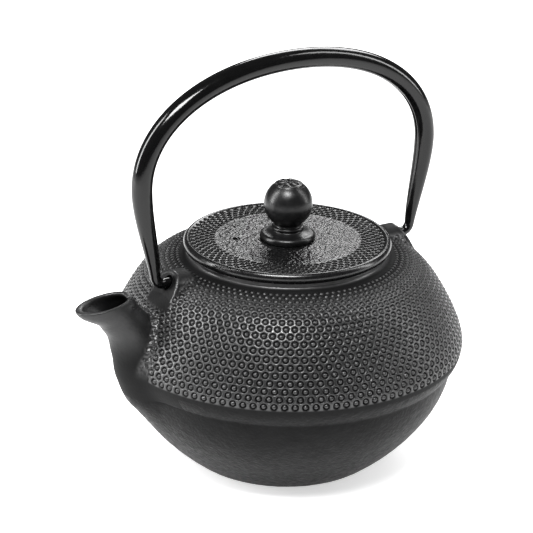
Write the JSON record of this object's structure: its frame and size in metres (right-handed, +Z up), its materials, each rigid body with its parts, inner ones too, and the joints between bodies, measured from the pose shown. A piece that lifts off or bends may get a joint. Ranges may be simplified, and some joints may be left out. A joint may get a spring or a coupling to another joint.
{
  "type": "cast iron teapot",
  "caption": "Cast iron teapot with a hobnail shoulder, curved spout, lift-off lid with a ball knob, swinging arched handle and a hanging infuser.",
  "frame": {"origin": "on the pot's axis, at the centre of the flat disc that it stands on", "axes": "+Z up along the pot's axis, +X towards the spout; the handle and both lugs lie in the XZ plane"},
  "size_m": [0.1792, 0.155, 0.1826],
  "materials": {
    "cast_iron_body": "matt black enamel over rough cast iron",
    "cast_iron_lid": "satin black enamel over cast iron",
    "knob_iron": "glossy black enamel",
    "handle_steel": "semi-gloss black paint",
    "fastener_steel": "plain stainless steel",
    "infuser_steel": "polished stainless steel",
    "infuser_mesh": "fine perforated stainless sheet"
  },
  "bodies": {
    "pot": {"pot_body": "cast_iron_body", "pot_spout": "cast_iron_body"},
    "handle": {"handle": "handle_steel"},
    "lid": {"lid_plate": "cast_iron_lid", "lid_knob": "knob_iron", "knob_washer": "fastener_steel", "knob_screw": "fastener_steel"},
    "infuser": {"infuser_rim": "infuser_steel", "infuser_wall": "infuser_mesh", "infuser_seam": "infuser_steel", "infuser_floor": "infuser_mesh", "infuser_base_band": "infuser_steel"}
  },
  "joints": [
    {"name": "handle_swing", "type": "hinge", "parent": "pot", "child": "handle", "pos_m": [0, 0, 0.0903], "axis": [1, 0, 0], "range_deg": [-110, 110]},
    {"name": "infuser_lift", "type": "slide", "parent": "pot", "child": "infuser", "axis": [0, 0, 1], "range_m": [0, 0.039]},
    {"name": "lid_lift", "type": "slide", "parent": "infuser", "child": "lid", "axis": [0, 0, 1], "range_m": [0, 0.0085]}
  ]
}
